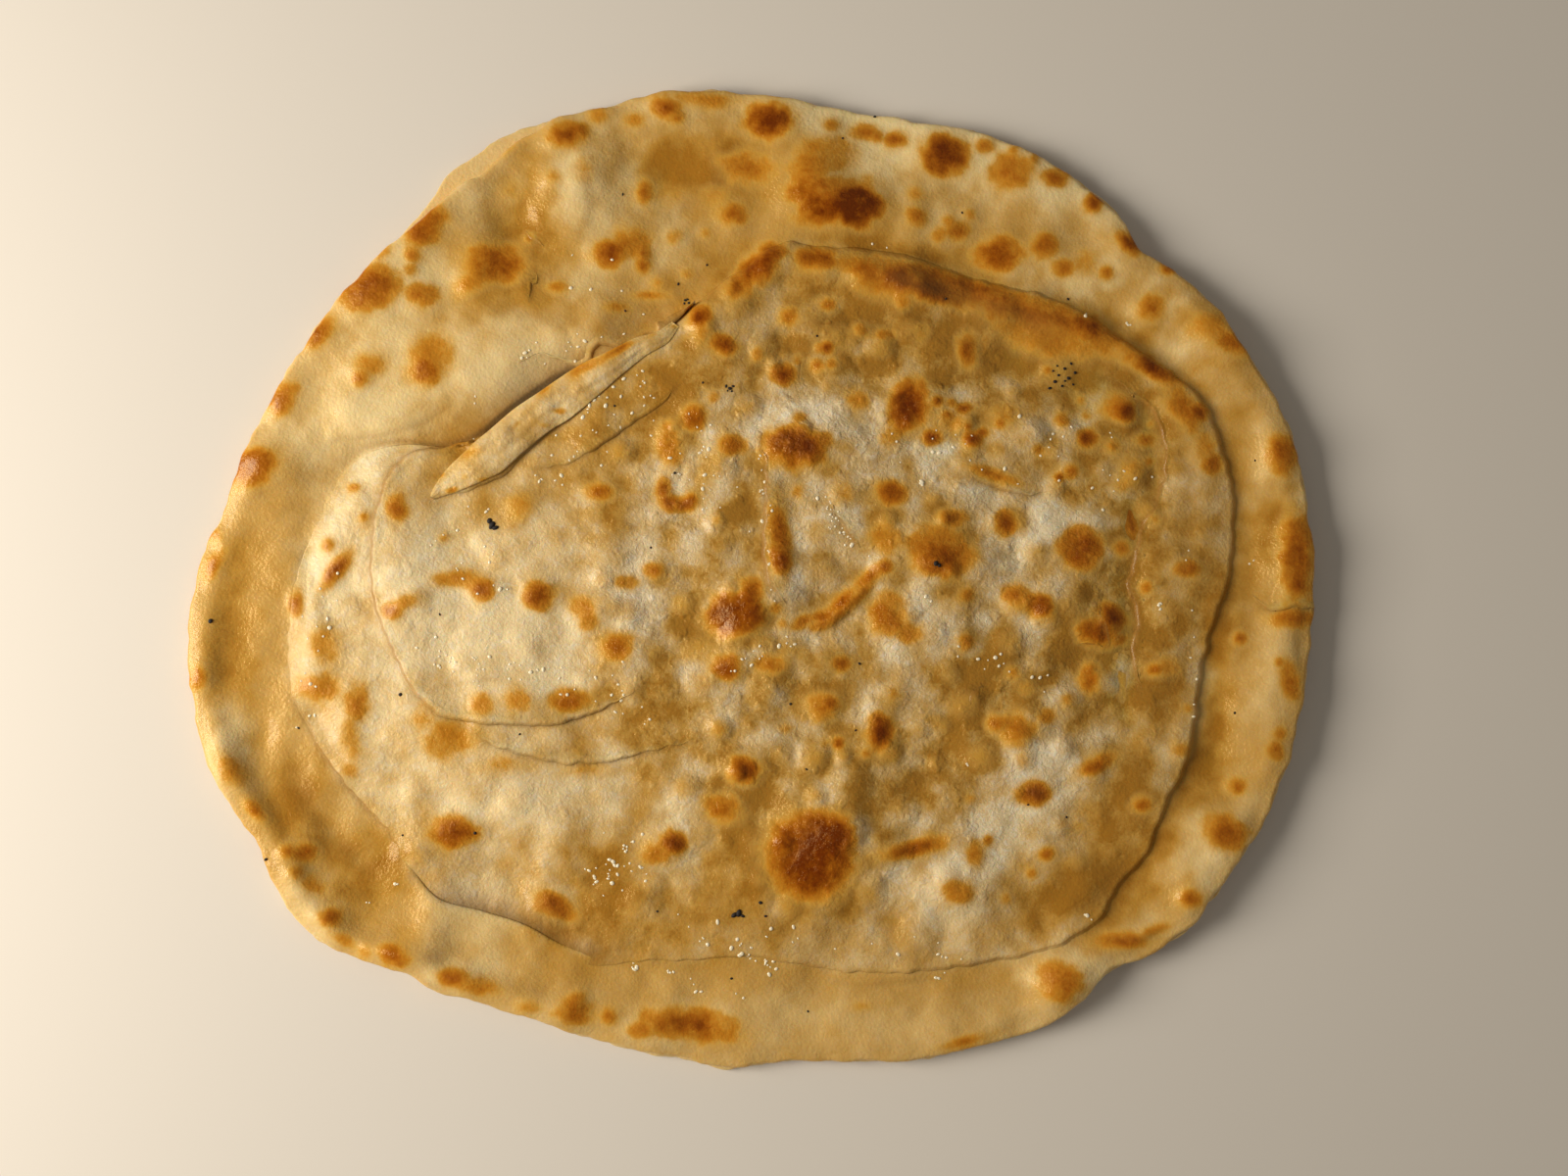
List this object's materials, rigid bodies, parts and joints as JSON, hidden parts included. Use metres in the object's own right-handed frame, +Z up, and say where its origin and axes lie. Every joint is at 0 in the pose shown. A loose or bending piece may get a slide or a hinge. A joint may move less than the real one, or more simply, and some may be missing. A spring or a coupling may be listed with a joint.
{
  "type": "paratha flatbread",
  "caption": "Griddled flaky flatbread of coiled dough: a thin outer round with a lifted rim, raised coil laps and an open slit on top, lying flat.",
  "frame": {"origin": "centre of the bread's outline, on the surface it lies on", "axes": "+Z up, out of the side with the open coil; +X along the widest way across, towards the edge with the highest lap; +Y across, towards the edge beyond the slit"},
  "size_m": [0.2412, 0.211, 0.0077],
  "materials": {
    "griddled_dough": "griddled wheat dough with a film of butter: pale gold, floury in places, with browned blisters; satin to glossy"
  },
  "bodies": {
    "root": {"paratha": "griddled_dough"}
  },
  "joints": []
}
